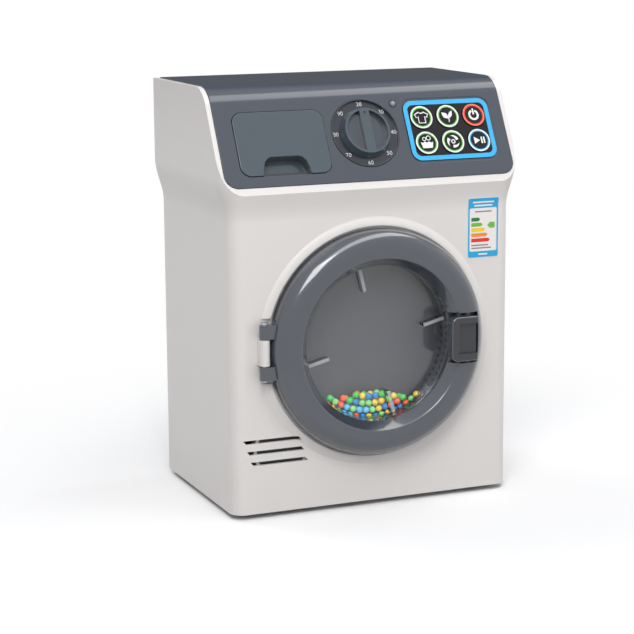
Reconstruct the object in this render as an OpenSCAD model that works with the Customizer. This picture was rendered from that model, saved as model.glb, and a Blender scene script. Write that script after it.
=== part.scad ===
/* [Cabinet] */
// Width of the cabinet below the control section
body_w = 177; // [165:1:200]
// Depth of the cabinet from its front face to its back
body_d = 116; // [112:1:140]
// Height of the whole machine on its feet
body_h = 247; // [243:1:270]
// Radius of the upright corners
corner_r = 8; // [5:1:12]
// Thickness of the moulded shells
wall = 2.2; // [1.8:0.1:3]
// Height of the feet
foot_h = 3; // [2:0.5:5]
// How far the control section flares out past the cabinet
flare = 5; // [3:0.5:7]
// Height of the cove under the control section
cove_h = 26; // [20:1:32]

/* [Control panel] */
// Lean of the control panel back from upright
panel_tilt = 28.3; // [22:0.1:34]
// Length of the flat face of the control panel, up its slope
panel_len = 51; // [48:1:56]
// Width of the control panel
panel_w = 181; // [170:1:184]
// Thickness of the control panel
panel_t = 2.6; // [2:0.1:3.2]
// Radius of the roll from the panel into the top
roll_r = 18.4; // [14:0.1:22]
// How far the panel's lower edge stands in front of the cabinet face
panel_foot = 1.8; // [1:0.1:3]
// Radius of the recessed dial ring
dial_r = 21.2; // [19:0.1:23]
// Diameter of the dial knob
knob_d = 30.8; // [28:0.1:33]
// How far the knob stands out of the dial
knob_h = 4; // [3:0.5:7]
// Diameter of each key cap
key_d = 14.6; // [12:0.1:15]
// Distance between keys in a row
key_pitch_x = 17; // [16.8:0.1:18]
// Distance between the two rows of keys
key_pitch_s = 16.1; // [16:0.1:17]
// Travel of a key when it is pressed
key_travel = 0.8; // [0.4:0.1:1]
// Width of the detergent drawer's front
drawer_w = 55; // [45:1:58]
// Height of the detergent drawer's front, up the slope
drawer_h = 38.5; // [32:0.5:41]
// Depth of the detergent drawer's tray
drawer_deep = 26; // [20:1:30]

/* [Door] */
// Height of the door's centre above the floor
door_z = 98.5; // [92:0.5:104]
// Outer radius of the door ring
door_r = 66.4; // [62:0.1:70]
// Radius of the open middle of the door ring
door_bore_r = 45.8; // [42:0.1:48]
// How far the door ring stands in front of the cabinet face
door_proud = 14.4; // [12:0.1:16]
// How far the handle stands in front of the cabinet face
handle_proud = 18; // [16:0.5:20]
// Width of the handle's face
handle_w = 16.5; // [14:0.5:18]
// Height of the handle's face
handle_h = 26.5; // [22:0.5:30]

/* [Drum] */
// Outer radius of the bead drum
drum_r = 50; // [48:0.1:53]
// Depth of the space that holds the beads
bead_room = 9; // [8.8:0.1:12]
// Diameter of one bead
bead_d = 4; // [3:0.1:4.1]
// Number of agitator ribs on the clear drum cover
rib_count = 4; // [3:1:6]
// Teeth on the drum gear
drum_teeth = 60; // [48:1:66]
// Teeth on the large wheel of the idler
idler_teeth = 36; // [30:1:42]
// Teeth on the idler's small pinion and on the motor pinion
pinion_teeth = 12; // [12:1:14]
// Gear module, which is the pitch diameter of a gear over its teeth
gear_module = 1; // [0.9:0.05:1.1]

/* [Fits] */
// Gap between a moving piece and what it passes
run_gap = 0.4; // [0.3:0.05:0.6]
// Gap round a shaft that turns in a bush
shaft_gap = 0.06; // [0.02:0.01:0.1]
// Gap between fixed pieces that plug together
seat_gap = 0.1; // [0.05:0.01:0.2]

/* [Hidden] */
$fn = 64;
proud = handle_proud;
face_y = proud - (body_d + proud) / 2;
back_y = (body_d + proud) / 2;
half_w = body_w / 2;
hood_half = half_w + flare;
cove_top = body_h - 49;
cove_z = cove_top - cove_h;
sin_t = sin(panel_tilt);
cos_t = cos(panel_tilt);
// Top and bottom of the panel's flat face, and the centre of its roll
flat_top_z = body_h - roll_r * (1 - sin_t);
panel_z = flat_top_z - panel_len * cos_t;
panel_y = face_y - panel_foot;
flat_top_y = panel_y + panel_len * sin_t;
roll_y = flat_top_y + roll_r * cos_t;
roll_z = body_h - roll_r;
// Places on the panel: across it, and up its slope from the lower edge
dial_s = 29.6;
led_x = 20.8;
led_s = dial_s + 17.2;
key_x = 54;
key_s = 29.2;
drawer_x = -52.5;
drawer_s = 6.6 + drawer_h / 2;
cover_back = 4;
floor_z = foot_h;
door_gap = 0.8;
collar_r = door_r + 6;
hinge_x = -(door_r + 3.8);
hinge_y = face_y - 4.5;
pin_r = 1.5;
handle_x = 48.8;
handle_y = face_y - 11.4;
drum_hole_r = drum_r + 1.8;
drum_front = face_y - 6;
drum_floor = face_y + 1.6;
clear_t = 1.2;
tub_back = drum_floor + clear_t + bead_room;
tub_t = 1.6;
bead_ring_r = drum_r - tub_t - bead_d / 2 - 0.3;
gear_w = 6;
gear_y = tub_back + tub_t + 14;
plate_y = gear_y + gear_w + 8;
shaft_r = 3;
hub_lead = 2;
idler_reach = gear_module * (drum_teeth + pinion_teeth) / 2;
motor_reach = gear_module * (idler_teeth + pinion_teeth) / 2;
idler_x = -idler_reach * cos(60);
idler_z = door_z - idler_reach * sin(60);
motor_x = idler_x + motor_reach;
motor_z = idler_z;
motor_r = 12;
battery_w = 50;
bay_wall = 1.6;
cell_l = 50;
contact_t = 0.5;
battery_h = cell_l + 2 * bay_wall + 2 * contact_t + 1.1;
battery_z = floor_z + 16;
battery_x = 42;

// Sideways growth of the outer walls at a height: an S curve up the cove
function flare_at(z) = z < cove_z ? 0 : z > cove_top ? flare
    : flare * (1 - cos(180 * (z - cove_z) / cove_h)) / 2;
// Points of an upright wall, as distance out and height
function wall_line(r, z0, z1) = concat([[r, z0]],
    [for (i = [0:10]) let (z = cove_z + cove_h * i / 10) [r + flare_at(z), z]], [[r + flare, z1]]);
// Points of the panel's side outline, moved in by a distance, as depth and height
function console_line(off) = concat(
    [[panel_y - 60 * sin_t + off * cos_t, panel_z - 60 * cos_t - off * sin_t]],
    [for (i = [0:10]) let (a = panel_tilt + (90 - panel_tilt) * i / 10)
        [roll_y - (roll_r - off) * cos(a), roll_z + (roll_r - off) * sin(a)]]);
// A point on a smooth curve through four points
function curve(p, t) = 0.5 * (2 * p[1] + (p[2] - p[0]) * t + (2 * p[0] - 5 * p[1] + 4 * p[2] - p[3]) * t * t
    + (3 * p[1] - p[0] - 3 * p[2] + p[3]) * t * t * t);
function smooth(p, n) = let (last = len(p) - 1) concat([for (i = [0:last - 1], k = [0:n - 1])
    curve([p[max(i - 1, 0)], p[i], p[i + 1], p[min(i + 2, last)]], k / n)], [p[last]]);

// Puts a shape on the panel: local X across, Y up the slope, Z out of the face
module on_panel(x, s, h = 0)
    translate([x, panel_y + s * sin_t - h * cos_t, panel_z + s * cos_t + h * sin_t])
        rotate([90 - panel_tilt, 0, 0]) children();
// Stands a shape's Z axis along the machine's +Y, about the axis through x and z
module along_y(x, y, z) translate([x, y, z]) rotate([-90, 0, 0]) children();
module rod(r, h) cylinder(r = r, h = h);
module tube(ro, ri, h) difference() {
    cylinder(r = ro, h = h);
    translate([0, 0, -1]) cylinder(r = ri, h = h + 2);
}
module rounded(w, h, r) union() {
    square([w - 2 * r, h], center = true);
    square([w, h - 2 * r], center = true);
    for (x = [-1, 1], y = [-1, 1]) translate([x * (w / 2 - r), y * (h / 2 - r)]) circle(r);
}
module slab(w, h, r, t) linear_extrude(t) rounded(w, h, r);
// A ring about the door's axis: points are radius and depth
module door_turned(points) translate([0, 0, door_z]) rotate([-90, 0, 0]) rotate_extrude($fn = 96)
    polygon([for (p = points) [p[0], p[1]]]);

// Everything inside the cabinet's outline, moved in by a distance
module cabinet_form(off, z0) {
    r = corner_r - off;
    cx = half_w - corner_r;
    cy = face_y + corner_r;
    top = body_h + 2;
    line = wall_line(r, z0, top);
    for (s = [-1, 1]) translate([s * cx, cy, 0]) rotate_extrude()
        polygon(concat([[0, z0]], line, [[0, top]]));
    translate([-cx, 0, 0]) rotate([90, 0, 90]) linear_extrude(2 * cx)
        polygon(concat([[cy + 1, z0]], [for (p = line) [cy - p[0], p[1]]], [[cy + 1, top]]));
    translate([0, back_y, 0]) rotate([90, 0, 0]) linear_extrude(back_y - cy)
        polygon(concat([for (p = line) [cx + p[0], p[1]]],
            [for (i = [len(line) - 1:-1:0]) [-cx - line[i][0], line[i][1]]]));
}
// Everything behind and below the panel's outline, moved in by a distance
module console_form(off, half, back) translate([-half, 0, 0]) rotate([90, 0, 90]) linear_extrude(2 * half)
    polygon(concat([[back, -1], [panel_y - 60 * sin_t, -1]], console_line(off), [[back, body_h - off]]));
// The panel's shell between two depths under its face, with its rounded lower corners
module panel_band(grow, top_off, off) difference() {
    console_form(top_off, panel_w / 2 + grow, back_y - cover_back + grow);
    console_form(off, panel_w, back_y + 9);
    on_panel(0, -300 - grow) translate([-panel_w, 0, -150]) cube([2 * panel_w, 300, 300]);
    for (s = [-1, 1]) on_panel(s * (panel_w / 2 + grow), -grow, -20) linear_extrude(40) difference() {
        translate([-corner_r, -1]) square([2 * corner_r, corner_r + 1]);
        translate([-s * corner_r, corner_r]) circle(corner_r);
        translate([s > 0 ? -2 * corner_r : corner_r, -2]) square([corner_r, 2 * corner_r]);
    }
}

// Screw places in the rear cover: across and up
screw_r = 1.5;
boss_r = 4;
screw_places = [for (x = [-1, 1], z = [floor_z + 12, 120, body_h - 22])
    [x * (half_w + flare_at(z) - wall - boss_r + 0.5), z]];
rear_t = 2.2;
rear_in = 3.8;

// White shell: front, sides and flared surround of the panel, open behind and below
module cabinet() color("#dedad7") {
    difference() {
        union() {
            difference() {
                intersection() { cabinet_form(0, floor_z); console_form(0.6, hood_half + 1, back_y); }
                intersection() {
                    cabinet_form(wall, floor_z - 1);
                    console_form(panel_t + wall, hood_half + 1, back_y + 5);
                }
            }
            // Soft raised collar round the door
            difference() {
                door_turned([[door_r + door_gap, face_y - 1.2], [door_r + 1.6, face_y - 2],
                    [door_r + 3, face_y - 2.1], [collar_r, face_y - 0.6], [collar_r + 1, face_y],
                    [collar_r + 1, face_y + 1], [door_r + door_gap, face_y + 1]]);
                translate([-100 + hinge_x + 6, face_y - 10, door_z - 19]) cube([100, 10, 38]);
            }
            // Rim the drum turns in
            door_turned([[drum_hole_r, face_y], [drum_hole_r + 1.6, face_y],
                [drum_hole_r + 1.6, face_y + 9], [drum_hole_r, face_y + 9]]);
            for (p = screw_places) along_y(p[0], back_y - rear_in - 30, p[1]) rod(boss_r, 30);
        }
        for (p = screw_places) along_y(p[0], back_y - rear_in - 14, p[1]) rod(screw_r - 0.2, 40);
        along_y(0, face_y - 1, door_z) rod(drum_hole_r, 11);
        // Clear circle for the door where the cove comes down to it
        along_y(0, face_y - 20, door_z) rod(door_r + door_gap - 0.1, 19.95);
        panel_band(0.2, -5, panel_t);
        // Window behind the panel for the drawer, dial and keys
        on_panel(0, 5, -14) translate([-84, 0, 0]) cube([168, panel_len - 5, 30]);
        // Slot for the door's latch
        door_box(catch_x - 3, catch_x + 5.6, face_y - 1, face_y + wall + 1, catch_half + 1);
        // Three slanted speaker slots at the lower left
        for (i = [0:2]) translate([speaker_x + slot_w / 2 - i * 2.2, 0, slot_z + i * slot_pitch])
            rotate([90, 0, 0]) translate([0, 0, -face_y - 9]) linear_extrude(19)
                polygon([[-slot_w, 0], [1.8, 0], [0, slot_h], [-slot_w - 1.8, slot_h]]);
    }
}
speaker_x = -60;
slot_w = 32;
slot_h = 2.3;
slot_pitch = 6.5;
slot_z = 31.6;
speaker_r = 15;

// Back panel that closes the cabinet, with air slots and the battery bay's opening
module rear_cover() color("#d3d0ce") difference() {
    intersection() {
        cabinet_form(wall + seat_gap, floor_z + wall + seat_gap);
        console_form(panel_t + wall + seat_gap, hood_half, back_y);
        translate([-body_w, back_y - rear_in, 0]) cube([2 * body_w, rear_t, body_h]);
    }
    for (p = screw_places) along_y(p[0], 0, p[1]) rod(screw_r + 0.2, 90);
    for (i = [0:5]) translate([-22, back_y - 9, door_z + 45 + i * 6]) cube([44, 20, 2.4]);
    translate([battery_x - battery_w / 2, back_y - 9, battery_z])
        cube([battery_w, 20, battery_h]);
}

// Floor of the cabinet
module base_plate() color("#cfccca") difference() {
    translate([0, 0, floor_z]) linear_extrude(wall) intersection() {
        translate([0, (face_y + back_y) / 2]) rounded(body_w - 2 * wall - 0.2, body_d - 2 * wall - 0.2, corner_r - wall);
        square([body_w, 2 * back_y - 2 * rear_in - 0.2], center = true);
    }
    for (x = [-1, 1], y = [-1, 1])
        translate([x * foot_x, foot_mid + y * foot_y, 0]) rod(2.5, 20);
}
foot_x = 74;
foot_y = 42;
foot_mid = (face_y + back_y) / 2;
// Four soft feet pushed into the floor
module feet() color("#4b4d50") for (x = [-1, 1], y = [-1, 1])
    translate([x * foot_x, foot_mid + y * foot_y, 0]) {
        cylinder(r1 = 6, r2 = 7, h = foot_h);
        rod(2.4, foot_h + wall + 0.5);
        translate([0, 0, foot_h + wall]) cylinder(r1 = 3.4, r2 = 1.8, h = 2);
    }

// Grey front panel that rolls over into the top cover
module control_panel() color("#5b626c") difference() {
    panel_band(0, 0, panel_t);
    on_panel(0, dial_s, -9) rod(dial_r, 20);
    on_panel(led_x, led_s, -9) rod(1.7 + seat_gap, 20);
    on_panel(drawer_x, drawer_s, -9) slab(drawer_w + 0.8, drawer_h + 0.8, 6.4, 20);
    on_panel(key_x, key_s, -1) slab(key_w + 0.2, key_h + 0.2, 6.1, 9);
    on_panel(key_x, key_s, -0.35) slab(key_w + 3.2, key_h + 3.2, 7.6, 9);
    for (x = [-1:1], s = [-1, 1]) on_panel(key_x + x * key_pitch_x, key_s + s * key_pitch_s / 2, -9)
        rod(key_d / 2 + run_gap, 20);
}
key_w = 55;
key_h = 37.5;

lip_r = door_bore_r + 4.4;
ring_t = 2;
notch_x = [handle_x - 9, 60.5];
notch_half = handle_h / 2 + 1.75;
notch_floor = face_y - 7.8;
block_back = drum_front - run_gap;
screw_angles = [58, 122];
screw_ring = door_r - 6;
catch_x = 58;
catch_half = 5;
// Front of the door ring in section, from the cabinet side round to the open middle
ring_front = concat([[door_r, face_y - 0.3]], smooth([[door_r - 0.1, face_y - 5.5],
    [door_r - 0.8, face_y - 8.4], [door_r - 2.1, face_y - 10.6], [door_r - 4.3, face_y - door_proud + 1.7],
    [door_r - 6.8, face_y - door_proud + 0.5], [door_r - 9.4, face_y - door_proud],
    [door_r - 12.4, face_y - door_proud], [lip_r + 1.2, face_y - door_proud + 0.2],
    [lip_r, face_y - door_proud + 0.9]], 3), [[door_bore_r, face_y - 7.7]]);
// Back of the ring's shell in section, from the open middle to the outer wall
ring_back = [[door_bore_r, face_y - 6.5], [door_bore_r + 1.8, face_y - 6.5],
    [lip_r + 1.7, face_y - door_proud + 2.4], [door_r - 12, face_y - door_proud + ring_t],
    [door_r - 9.2, face_y - door_proud + ring_t], [door_r - 5.8, face_y - door_proud + 3.6],
    [door_r - 3.8, face_y - 8.8], [door_r - ring_t, face_y - 6], [door_r - ring_t, face_y - 0.3]];
knuckle_r = 3;
knuckle = [8, 16];
// Stands a shape on the door ring's circle at an angle, its Z axis along the machine's +Y
module on_ring(r, a, y) along_y(r * cos(a), y, door_z + r * sin(a)) children();
module door_box(x0, x1, y0, y1, half) translate([x0, y0, door_z - half]) cube([x1 - x0, y1 - y0, 2 * half]);

// Glossy grey ring of the door, hollow behind, with the handle's pocket
module door_ring() color("#5f666f") difference() {
    union() {
        door_turned(concat(ring_front, ring_back));
        intersection() {
            door_turned(concat(ring_front, [[door_bore_r, block_back], [door_r, block_back]]));
            door_box(door_bore_r - 6, notch_x[1] + 2, face_y - 20, block_back, notch_half + 2);
        }
        for (s = [-1, 1]) {
            translate([hinge_x, hinge_y, door_z + s * (knuckle[0] + knuckle[1]) / 2])
                cylinder(r = knuckle_r, h = knuckle[1] - knuckle[0], center = true);
            translate([hinge_x, hinge_y - knuckle_r, door_z + s * (knuckle[0] + knuckle[1]) / 2 - 4])
                cube([6.4, 5, knuckle[1] - knuckle[0]]);
            for (a = screw_angles) on_ring(s * screw_ring, a, face_y - 11) rod(2.6, 8.4);
        }
    }
    door_box(notch_x[0], notch_x[1], face_y - 30, notch_floor, notch_half);
    door_box(catch_x - 3, catch_x + 5.6, face_y - 9, face_y, catch_half + 1);
    translate([handle_x, handle_y, door_z - notch_half - 1.4]) rod(pin_r, 2 * notch_half + 2.8);
    for (s = [-1, 1]) {
        translate([hinge_x, hinge_y, door_z - 30]) rod(pin_r + shaft_gap, 60);
        for (a = screw_angles) on_ring(s * screw_ring, a, face_y - 9) rod(1, 9);
    }
}
// Flat ring screwed in behind the door ring
module door_liner() color("#4a4e55") difference() {
    door_turned([[drum_hole_r, face_y - 2.6], [door_r - ring_t - seat_gap, face_y - 2.6],
        [door_r - ring_t - seat_gap, face_y - 0.6], [drum_hole_r, face_y - 0.6]]);
    door_box(catch_x - 3, catch_x + 5.6, face_y - 9, face_y, catch_half + 1);
    for (s = [-1, 1], a = screw_angles) on_ring(s * screw_ring, a, face_y - 9) rod(1.3, 9);
}
// White bracket on the cabinet that holds the hinge pin
module hinge_bracket() color("#d2cfcd") difference() {
    union() {
        translate([hinge_x, hinge_y, door_z - knuckle[0] + run_gap])
            rod(knuckle_r, 2 * (knuckle[0] - run_gap));
        translate([hinge_x - knuckle_r, hinge_y, door_z - knuckle[0] + run_gap])
            cube([2 * knuckle_r - 0.6, face_y - hinge_y, 2 * (knuckle[0] - run_gap)]);
    }
    translate([hinge_x, hinge_y, door_z - 30]) rod(pin_r, 60);
}
// Steel pin the door swings on, with a small head
module hinge_pin() color("#b9bcc0") translate([hinge_x, hinge_y, door_z]) {
    translate([0, 0, -knuckle[1] - 1]) rod(pin_r, 2 * knuckle[1] + 1.5);
    translate([0, 0, knuckle[1] + run_gap]) rod(pin_r + 0.8, 1);
}
// Pull handle with a finger recess that is open to the right
module door_handle() color("#4a4b50") difference() {
    union() {
        translate([handle_x - 7.3 + handle_w / 2, face_y - proud, door_z]) rotate([-90, 0, 0])
            linear_extrude(6.4) union() {
                rounded(handle_w, handle_h, 4);
                translate([0, -handle_h / 2]) square([handle_w / 2, handle_h]);
            }
        translate([handle_x, handle_y, door_z - handle_h / 2]) rod(knuckle_r, handle_h);
        door_box(catch_x - 1, catch_x + 1, face_y - proud + 5, face_y + 4.6, catch_half - 0.5);
        door_box(catch_x - 1.8, catch_x, face_y + 3.1, face_y + 4.6, catch_half - 0.5);
    }
    translate([handle_x - 2.6, face_y - proud - 1, door_z - handle_h / 2 + 4.6]) cube([30, 3, handle_h - 8.6]);
    translate([handle_x, handle_y, door_z - 30]) rod(pin_r + shaft_gap, 60);
    translate([handle_x, handle_y, door_z - 3]) rod(knuckle_r + 0.5, 6);
}
// Steel pin across the handle's pocket
module handle_pin() color("#b9bcc0")
    translate([handle_x, handle_y, door_z - notch_half - 1.2]) rod(pin_r, 2 * notch_half + 2.4);
// Return spring wound round the pin in the middle of the handle
module handle_spring() color("#a7abb0") translate([handle_x, handle_y, door_z - 2.6]) tube(pin_r + 1.2, pin_r + 0.3, 5.2);
// Catch behind the cabinet's slot that the handle's hook clips past
module latch_keeper() color("#3b3d41") difference() {
    translate([catch_x - 2.8, face_y + wall, door_z - catch_half - 4]) cube([10.8, 6, 2 * catch_half + 8]);
    translate([catch_x - 2.2, face_y, door_z - catch_half - 1]) cube([8, 20, 2 * catch_half + 2]);
}

// Clear bowl that closes the drum, with ribs that stir the beads
module drum_cover() color("#e8eef2", 0.35) {
    door_turned([[door_bore_r + 0.4, drum_front], [drum_r, drum_front], [drum_r, drum_front + 3],
        [drum_r - clear_t, drum_front + 3], [drum_r - clear_t, drum_front + clear_t],
        [door_bore_r + 0.4, drum_front + clear_t], [door_bore_r - 0.3, drum_floor + clear_t],
        [0, drum_floor + clear_t], [0, drum_floor], [door_bore_r - 1.1, drum_floor],
        [door_bore_r - 0.4, drum_front]]);
    for (i = [0:rib_count - 1]) translate([0, 0, door_z]) rotate([0, -14 - 360 / rib_count * i, 0])
        rotate([90, 0, 0]) translate([0, 0, -drum_floor - 0.3]) linear_extrude(5.4)
            translate([31, -1]) square([door_bore_r - 1.4 - 31, 2]);
}
// Drum shell behind the clear cover: side wall, back disc and hub
module drum_tub() color("#6b6b70") difference() {
    union() {
        door_turned([[drum_r, drum_front + 3], [drum_r, tub_back + tub_t], [9, tub_back + tub_t],
            [9, tub_back + tub_t + 6], [0, tub_back + tub_t + 6], [0, tub_back],
            [drum_r - tub_t, tub_back], [drum_r - tub_t, drum_front + 3]]);
        // Raised ring and spokes on the back disc
        door_turned([[30, tub_back + tub_t], [32, tub_back + tub_t], [32, tub_back + tub_t + 2],
            [30, tub_back + tub_t + 2]]);
    }
    along_y(0, tub_back + tub_t, door_z) rod(shaft_r, 20);
    for (i = [0:3]) translate([0, 0, door_z]) rotate([0, 90 * i + 45, 0])
        translate([41, tub_back + tub_t - 0.6, 0]) rotate([-90, 0, 0]) rod(3, 3);
}
// Steel shaft pressed into the drum's hub
module drum_shaft() color("#b9bcc0") along_y(0, tub_back + tub_t, door_z) difference() {
    rod(shaft_r, plate_y + 5 - tub_back - tub_t);
    translate([shaft_r - 0.5, -5, gear_y - hub_lead - seat_gap - tub_back - tub_t]) cube([9, 10, 90]);
}

addendum = 0.7;
dedendum = 1.15;
backlash = 0.09;
pressure = 20;
function involute(a) = tan(a) * 180 / PI - a;
// Half the angle that a tooth covers at a radius
function half_tooth(teeth, r) = let (base = gear_module * teeth / 2 * cos(pressure))
    90 / teeth - backlash * 180 / PI / teeth + involute(pressure) - involute(acos(min(1, base / r)));
module gear_outline(teeth) {
    pitch = gear_module * teeth / 2;
    root = pitch - dedendum * gear_module;
    tip = pitch + addendum * gear_module;
    start = max(root, pitch * cos(pressure));
    flank = [for (i = [0:3]) start + (tip - start) * i / 3];
    polygon([for (t = [0:teeth - 1]) let (mid = 360 / teeth * t) each concat(
        [[root * cos(mid - half_tooth(teeth, start)), root * sin(mid - half_tooth(teeth, start))]],
        [for (r = flank) r * [cos(mid - half_tooth(teeth, r)), sin(mid - half_tooth(teeth, r))]],
        [for (i = [3:-1:0]) flank[i] * [cos(mid + half_tooth(teeth, flank[i])),
            sin(mid + half_tooth(teeth, flank[i]))]],
        [root * [cos(mid + half_tooth(teeth, start)), sin(mid + half_tooth(teeth, start))]])]);
}
// A gear whose axis runs along Y, with one tooth turned to a given angle
module gear(x, y, z, teeth, w, turn) translate([x, y + w, z]) rotate([90, 0, 0])
    linear_extrude(w) rotate(turn) gear_outline(teeth);
wheel_y = gear_y + gear_w;
wheel_w = 4;
axle_r = 1.5;
motor_shaft_r = 1;
support_y = gear_y - 5.4;
support_t = 2.4;
bush_r = 5;
post_places = [for (x = [-1, 1], z = [-1, 1]) [x * (drum_hole_r + 4), z * 22]];
spacer_places = [[-38, 0], [38, 0], [idler_x, idler_z - door_z - 24], [motor_x + 18, motor_z - door_z - 15]];

// Large gear on the drum shaft
module drum_gear() color("#e6e2d6") difference() {
    union() {
        gear(0, gear_y, door_z, drum_teeth, gear_w, 240);
        along_y(0, gear_y - hub_lead, door_z) rod(7, gear_w + hub_lead + 1);
    }
    along_y(0, gear_y - 3, door_z) difference() {
        rod(shaft_r, gear_w + 9);
        translate([shaft_r - 0.5, -5, -1]) cube([9, 10, gear_w + 20]);
    }
    for (i = [0:4]) translate([0, gear_y - 1, door_z]) rotate([0, 72 * i, 0]) translate([17, 0, 0])
        rotate([-90, 0, 0]) rod(6, gear_w + 2);
}
// Idler: a small pinion and a large wheel in one piece
module idler_gear() color("#e6e2d6") difference() {
    union() {
        gear(idler_x, gear_y, idler_z, pinion_teeth, gear_w, 75);
        gear(idler_x, wheel_y, idler_z, idler_teeth, wheel_w, 0);
    }
    along_y(idler_x, gear_y - 1, idler_z) rod(axle_r + shaft_gap, 30);
}
// Steel axle of the idler
module idler_axle() color("#b9bcc0") along_y(idler_x, support_y, idler_z)
    rod(axle_r, plate_y + 2.4 - support_y);
// Brass pinion on the motor's shaft
module motor_pinion() color("#c9a44a") {
    gear(motor_x, wheel_y, motor_z, pinion_teeth, wheel_w, 195);
    along_y(motor_x, wheel_y, motor_z) rod(motor_shaft_r, 24);
}
// Motor behind the gear plate
module motor() color("#9a9ea3") along_y(motor_x, plate_y + 2.4, motor_z) difference() {
    union() {
        rod(motor_r, 25);
        rod(3, 27);
        for (s = [-1, 1]) translate([s * 7 - 1, -2, 25]) cube([2, 4, 4]);
    }
    translate([0, 0, -1]) rod(motor_shaft_r + shaft_gap, 24);
}
// Plate with four posts that carries the drum's front bearing
module drum_support() color("#bfc2c4") difference() {
    union() {
        translate([0, support_y + support_t, door_z]) rotate([90, 0, 0]) linear_extrude(support_t) union() {
            rounded(2 * drum_hole_r + 20, 56, 6);
            translate([0, idler_z - door_z - 4]) rounded(90, 62, 6);
        }
        for (p = post_places) along_y(p[0], face_y + wall, door_z + p[1]) rod(boss_r, support_y - face_y - wall);
        along_y(0, support_y - 2, door_z) rod(bush_r + 2.5, 4);
    }
    along_y(0, support_y - 3, door_z) rod(bush_r, 9);
    along_y(idler_x, support_y - 1, idler_z) rod(axle_r, 9);
    for (p = post_places) along_y(p[0], face_y + wall + 6, door_z + p[1]) rod(screw_r - 0.2, 40);
}
// Bronze bush the drum shaft turns in
module drum_bush() color("#b98a4e") along_y(0, support_y - 2, door_z)
    tube(bush_r, shaft_r + shaft_gap, support_t + 2);
// Rear plate of the gearbox, on four spacers, with the motor's seat
module gear_plate() color("#bfc2c4") difference() {
    union() {
        translate([0, plate_y + 2.4, door_z]) rotate([90, 0, 0]) linear_extrude(2.4) union() {
            rounded(88, 14, 5);
            translate([2, idler_z - door_z + 4]) rounded(64, 70, 6);
        }
        for (p = spacer_places) along_y(p[0], support_y + support_t, door_z + p[1])
            rod(3.5, plate_y - support_y - support_t);
    }
    along_y(0, plate_y - 1, door_z) rod(shaft_r + shaft_gap, 9);
    along_y(idler_x, plate_y - 1, idler_z) rod(axle_r, 9);
    along_y(motor_x, plate_y - 1, motor_z) rod(motor_shaft_r + 1, 9);
    for (p = spacer_places) along_y(p[0], support_y + support_t - 1, door_z + p[1]) rod(1.3, 12);
}
// Loose beads that lie in a heap at the bottom of the drum
module drum_beads() color("#e9c93f") for (b = bead_places) translate([b[0], b[1], door_z + b[2]])
    sphere(r = bead_d / 2, $fn = 24);
bead_y = [drum_floor + clear_t + bead_d / 2 + 0.3, tub_back - bead_d / 2 - 0.3];
// Angles over which each row of beads lies, front layer and then back layer
bead_rows = [[[-154, -46], [-129, -57], [-118, -64], [-107, -76]], [[0, -1], [-124, -60], [-113, -69], [-102, -80]]];
bead_places = [for (layer = [0, 1], row = [0:3]) let (r = bead_ring_r - row * (bead_d + 0.1),
    step = 2 * asin((bead_d / 2 + 0.08) / r), span = bead_rows[layer][row])
    for (a = [span[0]:step:span[1]]) [r * cos(a), bead_y[layer], r * sin(a)]];

dial_low = 1.2;
spindle_r = 3;
switch_low = dial_low + 3.8;
knob_base = 0.8;
bar_w = 6;
knob_draft = 1.5;
scoop_deep = 3;
// Dark recessed ring round the knob, with a thin raised rim
module dial_plate() color("#45464b") on_panel(0, dial_s) difference() {
    union() {
        translate([0, 0, -switch_low]) rod(dial_r - seat_gap, switch_low - dial_low);
        translate([0, 0, -switch_low]) rod(dial_r + 2, switch_low - panel_t);
        translate([0, 0, -dial_low - 1]) tube(dial_r - seat_gap, dial_r - 1, dial_low + 1.5);
    }
    translate([0, 0, -9]) rod(spindle_r + run_gap, 12);
    translate([-dial_r - 3, panel_len - dial_s - seat_gap, -9]) cube([2 * dial_r + 6, 9, 12]);
}
// Knob with a grip bar between two scoops
module dial_knob() color("#5f6b73") on_panel(0, dial_s) {
    difference() {
        translate([0, 0, -knob_base]) cylinder(r1 = knob_d / 2, r2 = knob_d / 2 - knob_draft, h = knob_h + knob_base);
        for (s = [-1, 1]) translate([0, 0, knob_h - scoop_deep]) linear_extrude(9) difference() {
            circle(knob_d / 2 - knob_draft - 1.3);
            translate([s > 0 ? -50 : -bar_w / 2, -25]) square([50 + bar_w / 2, 50]);
        }
        translate([0, knob_d / 2 - 4.6, knob_h - 0.6]) rod(0.9, 2);
    }
    translate([0, 0, -switch_low - 7]) rod(spindle_r, switch_low + 7 - knob_base);
}
// Rotary switch behind the dial
module dial_switch() color("#2f3134") on_panel(0, dial_s, -switch_low - 9) difference() {
    union() {
        rod(12, 9);
        for (i = [-1:1]) translate([i * 6 - 1, -16, 0]) cube([2, 6, 1]);
    }
    translate([0, 0, 1]) rod(spindle_r + shaft_gap, 9);
}

drawer_wall = 1.6;
tray_w = drawer_w - 4.2;
tray_h = drawer_h - 4.8;
notch_h = 11;
front_gap = 0.3;
// Detergent drawer: a front with an arched finger notch, and an open tray behind
module detergent_drawer() color("#6e7b80") on_panel(drawer_x, drawer_s) difference() {
    union() {
        translate([0, 0, -panel_t + front_gap]) slab(drawer_w, drawer_h, 6, panel_t + 0.5 - front_gap);
        translate([-tray_w / 2, -tray_h / 2, -drawer_deep]) difference() {
            cube([tray_w, tray_h, drawer_deep - panel_t + front_gap]);
            translate([drawer_wall, drawer_wall, drawer_wall])
                cube([tray_w - 2 * drawer_wall, tray_h, drawer_deep - panel_t - drawer_wall]);
        }
        translate([-16, -tray_h / 2, -8.5]) cube([32, notch_h + 1, 6]);
    }
    translate([0, -drawer_h / 2, -7]) linear_extrude(9)
        polygon([[-14.5, -1], [14.5, -1], [14.2, 3], [12.6, 8], [10.5, notch_h - 0.8], [8.5, notch_h],
            [-8.5, notch_h], [-10.5, notch_h - 0.8], [-12.6, 8], [-14.2, 3]]);
}
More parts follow.
